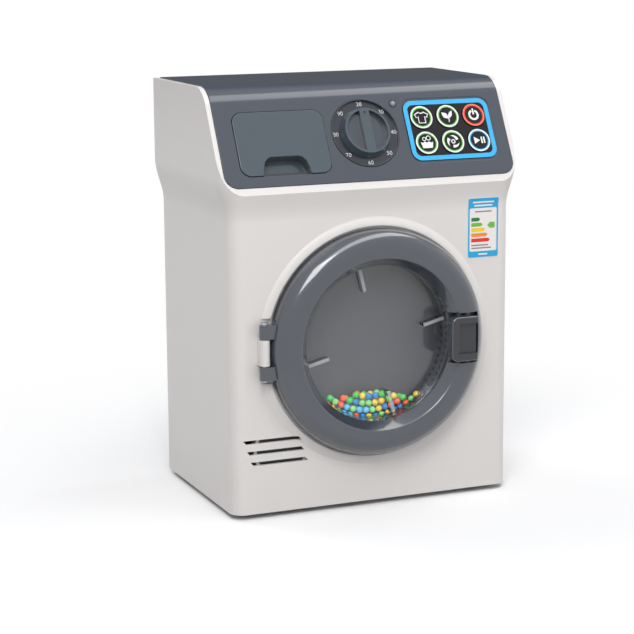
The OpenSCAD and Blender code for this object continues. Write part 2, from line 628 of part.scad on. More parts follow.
// Sleeve that the drawer slides in, with a flange against the back of the panel
module drawer_housing() color("#54595f") on_panel(drawer_x, drawer_s, -drawer_deep - 2.2) difference() {
    union() {
        translate([-tray_w / 2 - run_gap - drawer_wall, -tray_h / 2 - run_gap - drawer_wall, 0])
            cube([tray_w + 2 * run_gap + 2 * drawer_wall, tray_h + 2 * run_gap + 2 * drawer_wall,
                drawer_deep + 2.2 - panel_t]);
        translate([0, 0, drawer_deep + 0.6 - panel_t]) slab(drawer_w + 3.2, drawer_h + 2.8, 7, 1.6);
    }
    translate([-tray_w / 2 - run_gap, -tray_h / 2 - run_gap, drawer_wall])
        cube([tray_w + 2 * run_gap, tray_h + 2 * run_gap, 60]);
}

key_names = ["shirt", "leaf", "power", "wash", "spin", "play"];
stem_low = panel_t + 3;
dome_top = stem_low + key_travel + 0.1;
board_low = dome_top + 1.6;
// Black plate with a blue edge that the keys come through
module key_plate() color("#2e3033") on_panel(key_x, key_s, -1) difference() {
    slab(key_w, key_h, 6, 1.3);
    for (x = [-1:1], s = [-1, 1]) translate([x * key_pitch_x, s * key_pitch_s / 2, -1])
        rod(key_d / 2 + 0.25, 9);
}
// One round key with two retaining ears and a stem
module key_cap(column, row) on_panel(key_x + column * key_pitch_x, key_s + row * key_pitch_s / 2) {
    translate([0, 0, -panel_t - 1.3]) rod(key_d / 2, panel_t + 2.1);
    translate([-key_pitch_x / 2 + 0.2, -2.5, -panel_t - 1.3]) cube([key_pitch_x - 0.4, 5, 1]);
    translate([0, 0, -stem_low]) rod(2, 2);
}
module key_shirt() color("#7cc25a") key_cap(-1, 1);
module key_leaf() color("#7cc25a") key_cap(0, 1);
module key_power() color("#e0392f") key_cap(1, 1);
module key_wash() color("#7cc25a") key_cap(-1, -1);
module key_spin() color("#7cc25a") key_cap(0, -1);
module key_play() color("#3fb3ec") key_cap(1, -1);
// Board behind the keys, on four legs against the panel
module key_board() color("#3c7a4e") on_panel(key_x, key_s) {
    translate([0, 0, -board_low - 1.6]) slab(key_w + 2, key_h, 2, 1.6);
    for (x = [-1, 1], s = [-1, 1]) translate([x * (key_w / 2 - 1), s * (key_h / 2 - 2), -board_low])
        rod(1.8, board_low - panel_t);
}
// Soft sheet with a dome under each key
module key_domes() color("#c9c9c4") on_panel(key_x, key_s) {
    translate([0, 0, -board_low]) slab(key_w - 7, key_h - 6, 2, 0.6);
    for (x = [-1:1], s = [-1, 1]) translate([x * key_pitch_x, s * key_pitch_s / 2, -board_low])
        cylinder(r1 = 4, r2 = 2.6, h = board_low - dome_top);
}
// Small signal lamp beside the dial
module status_led() color("#f2f4f2") on_panel(led_x, led_s, -panel_t - 1) {
    rod(1.7, panel_t + 1);
    rod(2.4, 1);
    translate([0, 0, panel_t + 1]) intersection() {
        sphere(r = 1.7);
        rod(3, 3);
    }
}
label_w = 19.9;
label_h = 35.1;
label_x = half_w - corner_r - 0.5 - label_w;
// The label's lower corner stays clear of the raised collar
label_z = door_z + sqrt(pow(collar_r + 2.5, 2) - pow(label_x, 2));
// Sticker with coloured bars, laid over the front of the cabinet
module energy_label() color("#f4f6f6") intersection() {
    difference() { cabinet_form(-0.25, floor_z); cabinet_form(0, floor_z); }
    translate([label_x, face_y - 9, label_z]) cube([label_w, 12, label_h]);
}

// Speaker behind the slots at the lower left
module speaker() color("#3a3c3f") along_y(speaker_mid, face_y + wall + 1, speaker_z) {
    cylinder(r1 = speaker_r, r2 = 9, h = 7);
    translate([0, 0, 7]) rod(8, 5);
}
speaker_mid = speaker_x + 2;
speaker_z = slot_z + slot_pitch + 1;
// Ring that clamps the speaker to the front wall
module speaker_ring() color("#bfc2c4") along_y(speaker_mid, face_y + wall, speaker_z) difference() {
    rod(speaker_r + 2, 6);
    translate([0, 0, -1]) rod(speaker_r + seat_gap, 5.5);
    rod(speaker_r - 1.6, 9);
}
board_z = floor_z + wall + 6;
// Main circuit board on four legs over the floor
module main_board() color("#3c7a4e") translate([-14, foot_mid + 12, 0]) {
    translate([0, 0, board_z]) slab(64, 46, 2, 1.6);
    for (x = [-1, 1], y = [-1, 1]) translate([x * 28, y * 19, floor_z + wall]) rod(2.5, board_z - floor_z - wall);
    translate([-8, 4, board_z + 1.6]) slab(14, 14, 1, 2);
    translate([20, -8, board_z + 1.6]) rod(4, 9);
    translate([10, 14, board_z + 1.6]) slab(16, 5, 0.5, 6);
}

bay_deep = 20;
bay_y = back_y - rear_in + rear_t - bay_deep;
cell_r = 7.1;
cell_z = battery_z + bay_wall + contact_t + 1.05;
bay_hinge_z = battery_z + battery_h - bay_wall - 2.2;
bay_hinge_y = bay_y + bay_deep - 1.4;
bay_pin_r = 0.8;
// Battery tray let into the rear cover
module battery_box() color("#c4c1bf") difference() {
    union() {
        translate([battery_x - battery_w / 2 + seat_gap, bay_y, battery_z + seat_gap])
            cube([battery_w - 2 * seat_gap, bay_deep, battery_h - 2 * seat_gap]);
        translate([battery_x - battery_w / 2 - 3, back_y - rear_in - 1.6, battery_z - 3])
            cube([battery_w + 6, 1.6, battery_h + 6]);
    }
    translate([battery_x - battery_w / 2 + bay_wall, bay_y + bay_wall, battery_z + bay_wall])
        cube([battery_w - 2 * bay_wall, bay_deep, battery_h - 2 * bay_wall]);
    translate([battery_x - 40, bay_hinge_y, bay_hinge_z]) rotate([0, 90, 0]) rod(bay_pin_r + shaft_gap, 80);
}
// Three cells side by side, each other one turned round
module batteries() color("#3f7d4a") for (i = [-1:1]) translate([battery_x + i * (2 * cell_r + 0.6),
    bay_y + bay_wall + cell_r + 0.05, cell_z]) {
    rod(cell_r, cell_l - 1);
    if (i == 0) translate([0, 0, -1]) rod(2.7, 1);
    else translate([0, 0, cell_l - 1]) rod(2.7, 1);
}
// Contact plates at both ends of the cells, sprung at each cell's flat end
module battery_contacts() color("#c9ccd0") for (i = [-1:1], e = [0, 1])
    translate([battery_x + i * (2 * cell_r + 0.6), bay_y + bay_wall + cell_r + 0.05,
        e == 0 ? battery_z + bay_wall : battery_z + battery_h - bay_wall - contact_t]) {
        translate([-5, -5.5, 0]) cube([10, 11, contact_t]);
        if (e == 0 && i != 0) translate([0, 0, contact_t]) cylinder(r1 = 3.5, r2 = 2, h = 1);
        if (e == 1 && i == 0) translate([0, 0, -0.95]) cylinder(r1 = 2, r2 = 3.5, h = 0.95);
    }
cover_w = battery_w - 2 * bay_wall - 0.8;
cover_low = battery_z + bay_wall + 0.5;
screw_z = cover_low + 5;
// Battery cover, hung on two stub pins at its top edge
module battery_cover() color("#c9c6c4") difference() {
    union() {
        translate([battery_x - cover_w / 2, bay_hinge_y - 0.9, cover_low])
            cube([cover_w, 1.8, bay_hinge_z + 1.2 - cover_low]);
        translate([battery_x - cover_w / 2 - 1.6, bay_hinge_y, bay_hinge_z]) rotate([0, 90, 0])
            rod(bay_pin_r, cover_w + 3.2);
    }
    along_y(battery_x, bay_hinge_y - 5, screw_z) rod(screw_r + 0.1, 20);
    for (i = [0:3]) translate([battery_x - 12, bay_hinge_y + 0.4, bay_hinge_z - 10 - i * 3]) cube([24, 2, 1.4]);
}
// A pan-head screw that points into the machine
module screw(shank) {
    difference() {
        rod(2.8, 1.6);
        for (a = [0, 90]) rotate(a) translate([-1.8, -0.3, 0.8]) cube([3.6, 0.6, 2]);
    }
    translate([0, 0, -shank]) rod(screw_r - 0.2, shank);
}
module screw_in(x, y, z, shank) translate([x, y, z]) rotate([-90, 0, 0]) screw(shank);
module cover_screw() color("#8f9296") screw_in(battery_x, bay_hinge_y + 0.9, screw_z, 2.4);
// Screws that hold the rear cover on
module cabinet_screws() color("#8f9296") for (p = screw_places)
    screw_in(p[0], back_y - rear_in + rear_t, p[1], rear_t + 9);

lead_r = 0.8;
lead_sides = 6;
function unit(v) = v / norm(v);
// A tube of a wire's radius swept along a route
module wire(route) {
    p = smooth(route, 4);
    last = len(p) - 1;
    ends = [route[1] - route[0], route[len(route) - 1] - route[len(route) - 2]];
    rings = [for (i = [0:last]) let (d = unit(i == 0 ? ends[0] : i == last ? ends[1] : p[i + 1] - p[i - 1]),
        side = unit(cross(d, [0.31, 0.87, 0.38])), up = cross(side, d))
        for (k = [0:lead_sides - 1]) p[i] + lead_r * (side * cos(60 * k) + up * sin(60 * k))];
    faces = [for (i = [0:last - 1], k = [0:lead_sides - 1]) let (a = i * lead_sides + k,
        b = i * lead_sides + (k + 1) % lead_sides) each [[a, b, b + lead_sides], [a, b + lead_sides, a + lead_sides]]];
    polyhedron(rings, concat(faces, [[for (k = [lead_sides - 1:-1:0]) k]],
        [[for (k = [0:lead_sides - 1]) last * lead_sides + k]]));
}
plug_z = board_z + 7.65;
plug_y = foot_mid + 26;
// Middle of the key board's back, and a distance behind it
function key_back(h) = [key_x, panel_y + key_s * sin_t + (board_low + h) * cos_t,
    panel_z + key_s * cos_t - (board_low + h) * sin_t];
// Leads from the main board to the motor, battery bay, keys and speaker
module leads() color("#b03a34") {
    wire([[-10, plug_y, plug_z], [-10, plug_y, 24], [-20, 20, 36], [-12, plate_y + 37, motor_z - 8],
        [motor_x - 7, plate_y + 36, motor_z], [motor_x - 7, plate_y + 31.45, motor_z]]);
    wire([[2, plug_y, plug_z], [2, plug_y, 22], [12, 38, 24], [battery_x - 16, bay_y - 8, battery_z + 20],
        [battery_x - 10, bay_y - 4, battery_z + 26], [battery_x - 10, bay_y - 0.05, battery_z + 26]]);
    wire([[-2, plug_y, plug_z], [-2, plug_y, 28], [14, 24, 40], [50, 14, 56], [66, 5, 90], [66, 8, 150],
        [key_x + 6, panel_y + 42, panel_z - 18], key_back(7), key_back(1.65)]);
    wire([[-6, plug_y, plug_z], [-6, plug_y, 23], [-30, 10, 30], [-50, -16, 38],
        [speaker_mid, face_y + wall + 17, speaker_z], [speaker_mid, face_y + wall + 13.05, speaker_z]]);
}

cabinet();
rear_cover();
base_plate();
feet();
control_panel();
door_ring();
door_liner();
hinge_bracket();
hinge_pin();
door_handle();
handle_pin();
handle_spring();
latch_keeper();
drum_cover();
drum_tub();
drum_shaft();
drum_gear();
drum_beads();
drum_bush();
drum_support();
idler_gear();
idler_axle();
motor_pinion();
motor();
gear_plate();
dial_plate();
dial_knob();
dial_switch();
detergent_drawer();
drawer_housing();
key_plate();
key_shirt();
key_leaf();
key_power();
key_wash();
key_spin();
key_play();
key_board();
key_domes();
status_led();
speaker();
speaker_ring();
main_board();
battery_box();
batteries();
battery_contacts();
battery_cover();
cover_screw();
cabinet_screws();
energy_label();
leads();
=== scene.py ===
"""Looks of the toy washing machine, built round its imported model."""

import math
import random

import bmesh
import bpy
from mathutils import Matrix, Vector


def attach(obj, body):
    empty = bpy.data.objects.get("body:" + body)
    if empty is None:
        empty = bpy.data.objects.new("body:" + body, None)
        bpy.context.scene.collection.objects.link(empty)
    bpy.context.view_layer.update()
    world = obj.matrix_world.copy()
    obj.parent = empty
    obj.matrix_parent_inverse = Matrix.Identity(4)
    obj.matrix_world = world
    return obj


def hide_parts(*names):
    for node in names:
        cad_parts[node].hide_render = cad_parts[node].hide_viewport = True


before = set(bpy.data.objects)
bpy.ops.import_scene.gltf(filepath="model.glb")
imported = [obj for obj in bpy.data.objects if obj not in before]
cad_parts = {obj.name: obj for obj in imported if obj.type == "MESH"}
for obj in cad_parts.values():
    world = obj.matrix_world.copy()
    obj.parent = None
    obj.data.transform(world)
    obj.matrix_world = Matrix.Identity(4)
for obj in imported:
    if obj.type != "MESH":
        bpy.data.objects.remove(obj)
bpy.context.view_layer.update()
MM = 0.001
# Corners this close together are one corner
MERGE = 0.005 * MM

# Where the photograph was taken from, in millimetres and degrees
CAMERA_PLACE = (-463.1, -1069.8, 332.5)
CAMERA_AZIMUTH = 22.698
CAMERA_ELEVATION = 11.089
CAMERA_ROLL = 0.374
CAMERA_LENS = 111.84

# The control panel's plane, in millimetres, and its lean from upright
PANEL_FOOT = (0, -50.8, 192.42)
PANEL_TILT = math.radians(28.3)
# On the panel: places across and up its slope, radii, and heights off its face
DIAL = (0, 29.6)
NUMBER_R = 18.2
NUMBER_SIZE = 3.6
NUMBER_HEIGHT = -1.2
KNOB_TOP = 4.0
SCOOP_R = 13.6
LAMP = (20.8, 46.8)
LAMP_RING = (2.5, 1.75)
KEYS = (54, 29.2)
KEY_PITCH = (17, 16.1)
KEY_TOP = 0.8
KEY_R = 7.3
PLATE_SIZE = (55, 37.5)
INK = 0.06
# The cabinet's front, and the middle and height of the label on it
FACE_Y = -49.0
LABEL_MID = (70.05, 160.75)
LABEL_H = 35.1
# Where the sticker bends: height, and how far it leans out there
LABEL_BEND = [(172.0, 0.0), (174.6, 0.122), (177.2, 0.477), (178.3, 0.711)]
# The handle's front and its open end; where its recess and that recess's floor start, and their half heights
DOOR_Z = 98.5
HANDLE_FRONT = -67.0
HANDLE_END = 57.9
HANDLE_RECESS = (45.5, 10.0)
RECESS_FLOOR = (46.1, 8.7)
# Crest and reach of the bowl's ribs; the drum's wall, and the radius and depth of the dimples in it
RIB_TOP = -52.5
RIB_REACH = (30.5, 44.8)
TUB_WALL_R = 48.4
TUB_WALL_Y = (-46.0, -38.4)
DIMPLES = 72
DIMPLE = (1.25, 0.4)
BEAD_R = 2.0
# Size of the slow waviness of a moulded wall
WAVE = 18.0

# Colours by finish, as the photograph shows them
COLOURS = {
    "shell": "#E1DDDA",
    "rear": "#D8D5D2",
    "slate": "#474D57",
    "slate_light": "#48535B",
    "slate_deep": "#393F49",
    "slate_dark": "#30353D",
    "charcoal": "#303136",
    "drum": "#4C4C51",
    "plate": "#131416",
    "edge_blue": "#3FB3EC",
    "green": "#7DC85C",
    "red": "#E23B30",
    "blue": "#3FB3EC",
    "white": "#F4F5F5",
}
BEAD_COLOURS = ["#F25F3C", "#EAC648", "#43C250", "#5DB8E8", "#2482C2", "#8AD47E"]
LABEL_BARS = ["#1F7A3E", "#6DBB3C", "#F2D42C", "#F2952C", "#E6302E"]


def linear(code):
    """A colour from its sRGB hex code."""
    parts = [int(code[i : i + 2], 16) / 255 for i in (1, 3, 5)]
    parts = [p / 12.92 if p <= 0.04045 else ((p + 0.055) / 1.055) ** 2.4 for p in parts]
    return (*parts, 1.0)


def add_node(tree, kind, settings=None, links=None):
    """Adds one shader node, sets its sockets and links them to other nodes' outputs."""
    node = tree.nodes.new(kind)
    for name, value in (settings or {}).items():
        if name in node.inputs:
            node.inputs[name].default_value = value
        else:
            setattr(node, name, value)
    for name, output in (links or {}).items():
        tree.links.new(output, node.inputs[name])
    return node


def shader(name):
    """A new material with its node tree, its surface shader and its place in the object."""
    material = bpy.data.materials.new(name)
    material.use_nodes = True
    tree = material.node_tree
    surface = tree.nodes["Principled BSDF"]
    place = add_node(tree, "ShaderNodeTexCoord").outputs["Object"]
    return material, tree, surface, place


def background_rays(tree):
    """One for rays that show the background: from the camera, or by a mirror or clear surface."""
    path = add_node(tree, "ShaderNodeLightPath")
    total = path.outputs["Is Camera Ray"]
    for kind in ("Is Glossy Ray", "Is Transmission Ray"):
        links = {0: total, 1: path.outputs[kind]}
        total_node = add_node(tree, "ShaderNodeMath", {"operation": "ADD", "use_clamp": True}, links)
        total = total_node.outputs["Value"]
    return total


def noise(tree, place, size, detail):
    """A noise whose grain has a size in millimetres."""
    settings = {"Scale": 1 / (size * MM), "Detail": detail}
    return add_node(tree, "ShaderNodeTexNoise", settings, {"Vector": place}).outputs["Fac"]


def vary_gloss(tree, surface, source, low, high):
    """Lets the roughness wander between two values with a noise."""
    gloss = add_node(tree, "ShaderNodeMapRange", {"To Min": low, "To Max": high}, {"Value": source})
    tree.links.new(gloss.outputs["Result"], surface.inputs["Roughness"])


def moulded(name, code, roughness, grain=0.35, grain_depth=0.02, coat=0.0, coat_ior=1.5, ior=1.53):
    """Injection-moulded plastic: a fine spark grain over the slow waviness of a cooled wall.

    The grain is drawn coarser than the real one, which is too fine to show.
    """
    material, tree, surface, place = shader(name)
    surface.inputs["Base Color"].default_value = linear(code)
    surface.inputs["IOR"].default_value = ior
    surface.inputs["Coat Weight"].default_value = coat
    surface.inputs["Coat Roughness"].default_value = 0.04
    surface.inputs["Coat IOR"].default_value = coat_ior
    fine = noise(tree, place, grain, 2.0)
    slow = noise(tree, place, WAVE, 3.0)
    vary_gloss(tree, surface, slow, roughness * 0.85, roughness * 1.15)
    waves = add_node(tree, "ShaderNodeBump", {"Strength": 0.05, "Distance": 0.1 * MM}, {"Height": slow})
    grains = add_node(
        tree, "ShaderNodeBump", {"Strength": 0.35, "Distance": grain_depth * MM},
        {"Height": fine, "Normal": waves.outputs["Normal"]},
    )
    tree.links.new(grains.outputs["Normal"], surface.inputs["Normal"])
    return material


def metal(name, code, roughness):
    """Turned or drawn metal with fine tool marks along its length."""
    material, tree, surface, place = shader(name)
    surface.inputs["Base Color"].default_value = linear(code)
    surface.inputs["Metallic"].default_value = 1.0
    vary_gloss(tree, surface, noise(tree, place, 0.25, 3.0), roughness * 0.8, roughness * 1.3)
    return material


def clear_styrene(name, haze=0.0):
    """Clear polystyrene, polished in the mould: sharp reflections, and lamps reach what is behind it."""
    material, tree, surface, place = shader(name)
    surface.inputs["Base Color"].default_value = linear("#F6F8F9")
    surface.inputs["IOR"].default_value = 1.45
    surface.inputs["Transmission Weight"].default_value = 1.0 - haze
    vary_gloss(tree, surface, noise(tree, place, 25, 1.0), 0.0, 0.04)
    shadow = add_node(tree, "ShaderNodeLightPath").outputs["Is Shadow Ray"]
    through = add_node(tree, "ShaderNodeBsdfTransparent", {"Color": (0.92, 0.93, 0.94, 1)})
    links = {0: shadow, 1: surface.outputs["BSDF"], 2: through.outputs["BSDF"]}
    mix = add_node(tree, "ShaderNodeMixShader", links=links)
    tree.links.new(mix.outputs["Shader"], tree.nodes["Material Output"].inputs["Surface"])
    return material


def printed(name, code):
    """Screen-printed ink, slightly uneven where the mesh laid it down.

    The mottle is drawn coarser than the real screen's, which is too fine to show.
    """
    material, tree, surface, place = shader(name)
    base = linear(code)
    ramp = add_node(tree, "ShaderNodeValToRGB", links={"Fac": noise(tree, place, 0.5, 1.0)})
    ramp.color_ramp.elements[0].color = (*[c * 0.94 for c in base[:3]], 1)
    ramp.color_ramp.elements[1].color = base
    tree.links.new(ramp.outputs["Color"], surface.inputs["Base Color"])
    surface.inputs["Roughness"].default_value = 0.35
    return material


M = {
    # Moulded ABS, from satin housing to polished trim: soft wide highlights on the white,
    # crisp ones on the greys, and a clear-edged mirror of the lamps on the door ring
    "shell": moulded("satin_white_abs", COLOURS["shell"], 0.32),
    "rear": moulded("matt_white_abs", COLOURS["rear"], 0.55, grain=0.6, grain_depth=0.04),
    "slate": moulded("gloss_slate_abs", COLOURS["slate"], 0.13, grain=0.8, grain_depth=0.002),
    "slate_light": moulded(
        "gloss_grey_abs", COLOURS["slate_light"], 0.14, grain=0.8, grain_depth=0.002, coat=0.1),
    "slate_dark": moulded(
        "gloss_dark_slate_abs", COLOURS["slate_dark"], 0.16, grain=0.8, grain_depth=0.002),
    "polished": moulded(
        "polished_slate_abs", COLOURS["slate_deep"], 0.2,
        grain=0.8, grain_depth=0.001, coat=0.9, coat_ior=1.6),
    "charcoal": moulded("satin_charcoal_abs", COLOURS["charcoal"], 0.34),
    "grip": moulded(
        "gloss_charcoal_abs", COLOURS["charcoal"], 0.2, grain=0.8, grain_depth=0.004, coat=0.15),
    "drum": moulded("satin_drum_abs", COLOURS["drum"], 0.36, grain=0.9, grain_depth=0.001),
    "frame": moulded("grey_carrier_abs", "#BFC2C4", 0.45),
    "black": moulded("black_moulding", "#26272A", 0.4),
    # Film over the keys: near black, with the lamps mirrored in it
    "plate": moulded("gloss_black_film", COLOURS["plate"], 0.16, grain_depth=0.004, ior=1.42),
    # Machined acetal: waxy off-white gears
    "acetal": moulded("natural_acetal", "#E6E2D6", 0.42),
    # Glass-epoxy board under solder mask: flat green
    "board": moulded("green_board_laminate", "#2F6B43", 0.4),
    # Rubber and silicone: grey and milky, with no highlight to speak of
    "rubber": moulded("soft_foot_rubber", "#45474A", 0.75, grain=0.5, grain_depth=0.05),
    "silicone": moulded("milky_silicone", "#D2D2CD", 0.5),
    # Shrink sleeve of a dry cell and PVC of a wire: even colour with a dull shine
    "jacket": moulded("printed_cell_jacket", "#3F7D4A", 0.3),
    "lead": moulded("red_wire_pvc", "#B03A34", 0.45),
    # Turned, blackened, plated, cut and sintered metal: from bright steel to dull bronze
    "steel": metal("turned_steel", "#B9BCC0", 0.28),
    "dark_steel": metal("blackened_steel", "#4B4C4F", 0.4),
    "zinc": metal("zinc_plated_screw", "#A3A7AC", 0.33),
    "brass": metal("cut_brass", "#C9A44A", 0.3),
    "bronze": metal("sintered_bronze", "#B98A4E", 0.45),
    # Clear polystyrene: the drum shows through the bowl; the ribs' crests get a milky haze, a painted
    # highlight that lightens them as light catching clear crests would
    "clear": clear_styrene("clear_polystyrene"),
    "rib_crest_sheen": clear_styrene("clear_polystyrene_rib", 0.35),
    # Painted shade: dark discs on the drum wall stand for the shaded floors of its blind dimples
    "painted_dimple_shade": moulded("dimple_shade", "#26262A", 0.5),
    # Smoked polycarbonate dome over the lamp: one sharp glint
    "lens": moulded("smoked_lamp_lens", "#8C9297", 0.12),
    # Screen-printed inks on the keys, the dial and the label: flat colour with a faint mottle
    "white_ink": printed("white_ink", COLOURS["white"]),
    "grey_ink": printed("grey_ink", "#D3D7DA"),
    "green_ink": printed("green_ink", COLOURS["green"]),
    "red_ink": printed("red_ink", COLOURS["red"]),
    "light_red_ink": printed("light_red_ink", "#FF8066"),
    "blue_ink": printed("blue_ink", COLOURS["blue"]),
    "edge_blue": printed("edge_blue_ink", COLOURS["edge_blue"]),
    "label_blue": printed("label_blue_ink", "#22A9DC"),
    "label_grey": printed("label_grey_ink", "#8A7F82"),
    "label_white": printed("label_white_film", "#F3EDEA"),
}
# Solid-coloured polystyrene beads: bright, each with a small glint
BEADS = [moulded(f"bead_styrene_{i}", code, 0.22, coat=0.2) for i, code in enumerate(BEAD_COLOURS)]
BARS = [printed(f"bar_ink_{i}", code) for i, code in enumerate(LABEL_BARS)]

# Each node's body, material and edge rounding in millimetres
DRESS = {
    "cabinet": ("housing", "shell", 0.5), "rear_cover": ("housing", "rear", 0.3),
    "base_plate": ("housing", "rear", 0.3), "feet": ("housing", "rubber", 0.4),
    "control_panel": ("housing", "slate", 0.5), "door_ring": ("door", "polished", 0.3),
    "door_liner": ("door", "charcoal", 0.2), "hinge_bracket": ("housing", "shell", 0.3),
    "hinge_pin": ("housing", "steel", 0.2), "door_handle": ("handle", "grip", 0.7),
    "handle_pin": ("door", "dark_steel", 0), "handle_spring": ("door", "steel", 0),
    "latch_keeper": ("housing", "charcoal", 0.2), "drum_cover": ("drum", "clear", 0),
    "drum_tub": ("drum", "drum", 0), "drum_shaft": ("drum", "steel", 0),
    "drum_gear": ("drum", "acetal", 0), "drum_bush": ("housing", "bronze", 0),
    "drum_support": ("housing", "frame", 0.2), "idler_gear": ("idler", "acetal", 0),
    "idler_axle": ("housing", "steel", 0), "motor_pinion": ("rotor", "brass", 0),
    "motor": ("housing", "zinc", 0.3), "gear_plate": ("housing", "frame", 0.2),
    "dial_plate": ("housing", "slate_dark", 0.25), "dial_knob": ("knob", "slate_light", 0.45),
    "dial_switch": ("housing", "black", 0.2), "detergent_drawer": ("drawer", "slate_light", 0.5),
    "drawer_housing": ("housing", "charcoal", 0.2), "key_plate": ("housing", "plate", 0.2),
    "key_board": ("housing", "board", 0), "key_domes": ("housing", "silicone", 0),
    "status_led": ("housing", "lens", 0), "speaker": ("housing", "black", 0),
    "speaker_ring": ("housing", "frame", 0.2), "main_board": ("housing", "board", 0),
    "battery_box": ("housing", "rear", 0.2), "batteries": ("housing", "jacket", 0),
    "battery_contacts": ("housing", "steel", 0), "battery_cover": ("bay_cover", "rear", 0.3),
    "cover_screw": ("bay_cover", "zinc", 0.1), "cabinet_screws": ("housing", "zinc", 0.1),
    "energy_label": ("housing", "label_white", 0), "leads": ("housing", "lead", 0),
}
# Each key's name, with its column and row on the plate
KEY_ORDER = [
    ("shirt", -1, 1), ("leaf", 0, 1), ("power", 1, 1),
    ("wash", -1, -1), ("spin", 0, -1), ("play", 1, -1),
]
for key_name, _, _ in KEY_ORDER:
    DRESS["key_" + key_name] = (f"key_{key_name}_body", "plate", 0.3)


def select_only(piece):
    """Makes a piece the only one selected, and the active one."""
    bpy.ops.object.select_all(action="DESELECT")
    bpy.context.view_layer.objects.active = piece
    piece.select_set(True)


def apply_all(piece):
    """Applies every modifier on a piece."""
    select_only(piece)
    for modifier in list(piece.modifiers):
        bpy.ops.object.modifier_apply(modifier=modifier.name)


def pick_edges(piece, test):
    """Opens a piece in edit mode with only the edges selected whose faces and middle pass a test."""
    select_only(piece)
    bpy.ops.object.mode_set(mode="EDIT")
    bpy.ops.mesh.select_mode(type="EDGE")
    bpy.ops.mesh.select_all(action="DESELECT")
    work = bmesh.from_edit_mesh(piece.data)
    for edge in work.edges:
        middle = (edge.verts[0].co + edge.verts[1].co) / 2 / MM
        edge.select_set(len(edge.link_faces) == 2 and test(middle, [f.normal for f in edge.link_faces]))
    bmesh.update_edit_mesh(piece.data)


def bevel_picked(width, segments):
    """Rounds the edges that are picked, and leaves edit mode."""
    bpy.ops.mesh.bevel(
        offset=width * MM, offset_type="OFFSET", segments=segments, affect="EDGES", clamp_overlap=True)
    bpy.ops.object.mode_set(mode="OBJECT")


def round_handle(piece):
    """Rounds the handle's front but for its open side, and paints light and shade on its walls: painted
    shade in the recess, painted light on the side walls.
    """
    def outline(middle, normals):
        """Whether an edge runs round the front, away from the recess and the open side."""
        on_front = abs(middle.y - HANDLE_FRONT) < 0.05
        turns = abs(normals[0].dot(normals[1])) < 0.5
        in_recess = middle.x > HANDLE_RECESS[0] and abs(middle.z - DOOR_Z) < HANDLE_RECESS[1]
        return on_front and turns and not in_recess and middle.x < HANDLE_END

    pick_edges(piece, outline)
    bevel_picked(1.0, 4)
    # Painted shade: the recess takes a rougher copy of the handle's charcoal, which reads darker
    piece.data.materials.append(M["charcoal"])
    # Painted light: the side walls take a lighter, glossier grey, so they read as lit
    piece.data.materials.append(M["polished"])
    for face in piece.data.polygons:
        x, y, z = face.center / MM
        depth, off_middle = y - HANDLE_FRONT, abs(z - DOOR_Z)
        if x > RECESS_FLOOR[0] and 0.4 < depth < 2.1 and off_middle < RECESS_FLOOR[1]:
            face.material_index = 1
        elif 0.02 < depth < 7 and face.normal.y > -0.95 and (
                x < HANDLE_RECESS[0] or off_middle > HANDLE_RECESS[1]):
            face.material_index = 2


def shade_knob_scoops(piece):
    """Paints shade into the two finger scoops beside the knob's bar: their faces take the darker grey."""
    sin_t, cos_t = math.sin(PANEL_TILT), math.cos(PANEL_TILT)
    # Painted shade: the scoops' faces get the panel's darker grey, where their hollows fall dark
    piece.data.materials.append(M["slate"])
    for face in piece.data.polygons:
        x, y, z = face.center / MM - Vector(PANEL_FOOT)
        along, height = y * sin_t + z * cos_t, z * sin_t - y * cos_t
        if math.hypot(x - DIAL[0], along - DIAL[1]) < SCOOP_R and 0.2 < height < KNOB_TOP - 0.3:
            face.material_index = 1


def sheen_rib_crests(piece):
    """Rounds the crests of the bowl's stirring ribs and gives them a slightly milky finish, a painted
    highlight that lightens the clear crests.
    """
    def rim(middle, normals):
        """Whether an edge borders the crest of a rib."""
        return abs(middle.y - RIB_TOP) < 0.05 and abs(normals[0].dot(normals[1])) < 0.5

    pick_edges(piece, rim)
    bevel_picked(0.35, 3)
    # Painted highlight: the crests take a milky copy of the clear plastic, so they read lighter
    piece.data.materials.append(M["rib_crest_sheen"])
    for face in piece.data.polygons:
        x, y, z = face.center / MM
        r = math.hypot(x, z - DOOR_Z)
        if RIB_REACH[0] < r < RIB_REACH[1] and y < RIB_TOP + 0.4:
            face.material_index = 1


# Nodes whose flat faces have islands in them, so their triangles stay as they are
KEPT_WHOLE = {"drum_cover", "drum_tub"}
SHAPE = {"door_handle": round_handle, "drum_cover": sheen_rib_crests, "dial_knob": shade_knob_scoops}


def dress(node, body, finish, rounding):
    """A copy of a node with its triangles joined and its edges rounded, which stands for it."""
    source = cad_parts[node]
    mesh = source.data.copy()
    work = bmesh.new()
    work.from_mesh(mesh)
    bmesh.ops.remove_doubles(work, verts=work.verts, dist=MERGE)
    if node not in KEPT_WHOLE:
        bmesh.ops.dissolve_limit(work, angle_limit=math.radians(0.6), verts=work.verts, edges=work.edges)
    work.to_mesh(mesh)
    work.free()
    piece = bpy.data.objects.new(node + "_dressed", mesh)
    bpy.context.scene.collection.objects.link(piece)
    mesh.materials.clear()
    mesh.materials.append(M[finish])
    select_only(piece)
    bpy.ops.mesh.customdata_custom_splitnormals_clear()
    if node in SHAPE:
        SHAPE[node](piece)
    if rounding:
        edge = piece.modifiers.new("edge", "BEVEL")
        edge.width = rounding * MM
        edge.segments = 2
        edge.limit_method = "ANGLE"
        edge.angle_limit = math.radians(38)
        apply_all(piece)
    smooth(piece)
    if rounding:
        piece.modifiers.new("flats", "WEIGHTED_NORMAL").keep_sharp = True
        apply_all(piece)
    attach(piece, body)
    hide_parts(node)


